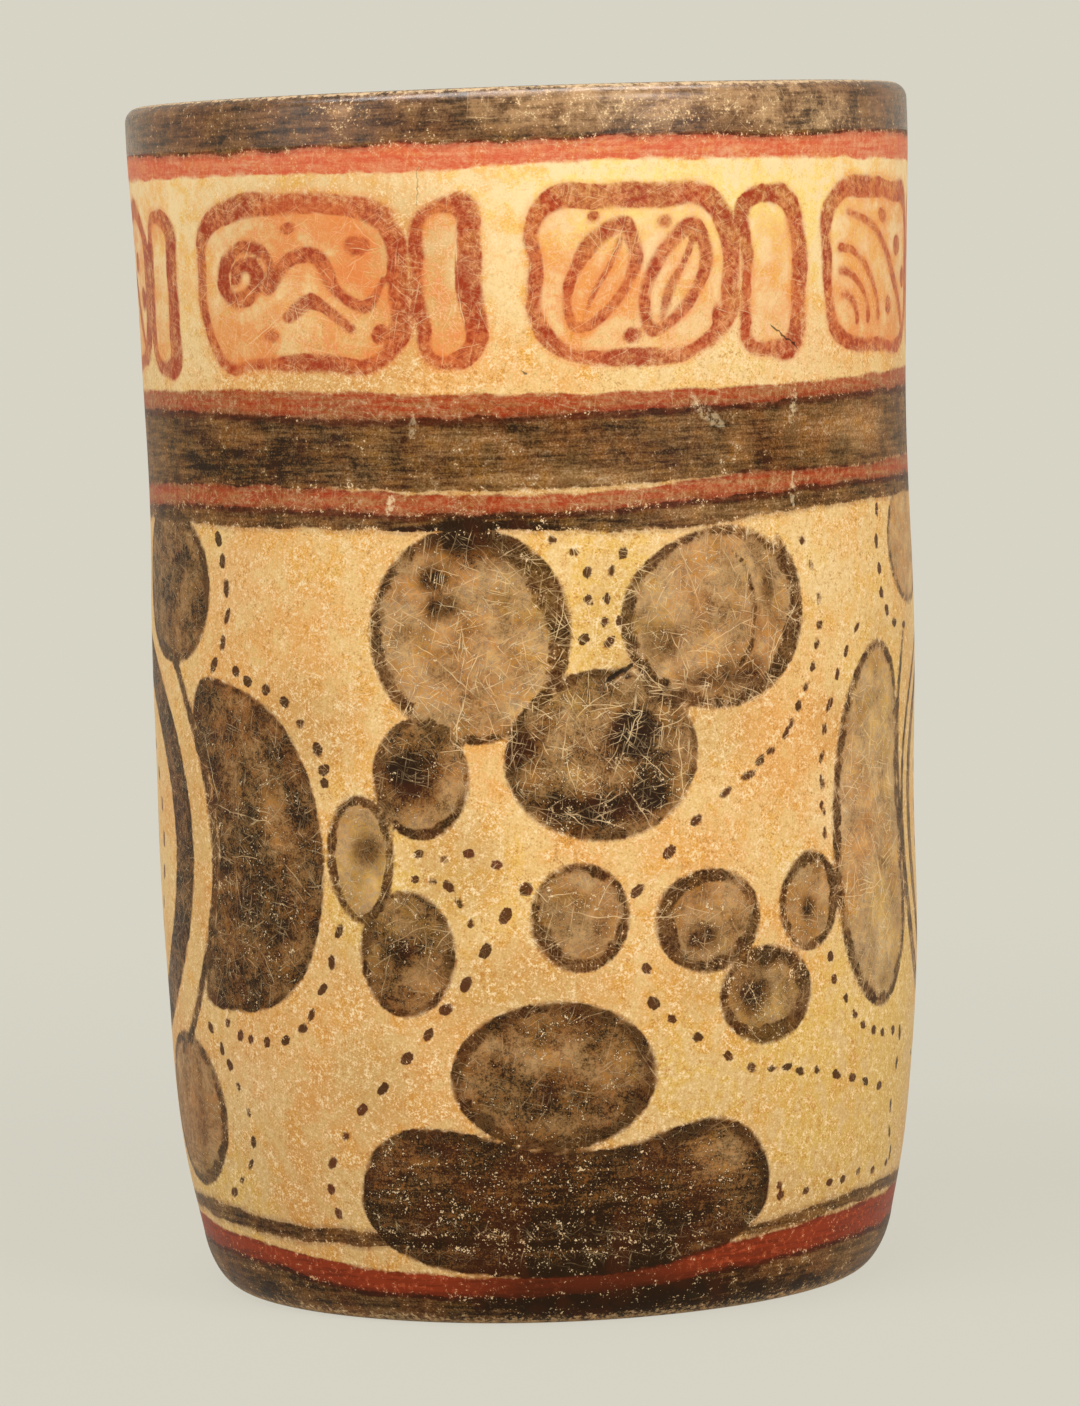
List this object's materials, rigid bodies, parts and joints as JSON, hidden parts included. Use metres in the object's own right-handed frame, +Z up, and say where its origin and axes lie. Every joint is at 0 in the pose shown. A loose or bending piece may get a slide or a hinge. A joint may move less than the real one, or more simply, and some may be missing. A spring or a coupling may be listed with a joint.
{
  "type": "cylinder vessel",
  "caption": "Tall round clay vessel with a flat foot, nearly straight wall, slight waist and rounded lip, painted with pelt-like spots, dotted lines and bordered bands; open top, free-standing.",
  "frame": {"origin": "centre of the flat underside, which the vessel stands on", "axes": "+Z up along the vessel's axis towards the mouth; -Y is the side that the picture shows"},
  "size_m": [0.1316, 0.1316, 0.2],
  "materials": {
    "cream_slip": "burnished cream-orange slip with brown-black and red painted ornament",
    "black_slip": "burnished brown-black slip, worn to the cream under it",
    "bare_clay": "smoothed unslipped buff-brown clay"
  },
  "bodies": {
    "root": {"base_slab": "black_slip", "corner_coil": "bare_clay", "lower_wall": "cream_slip", "upper_wall": "cream_slip", "lip_coil": "black_slip"}
  },
  "joints": []
}
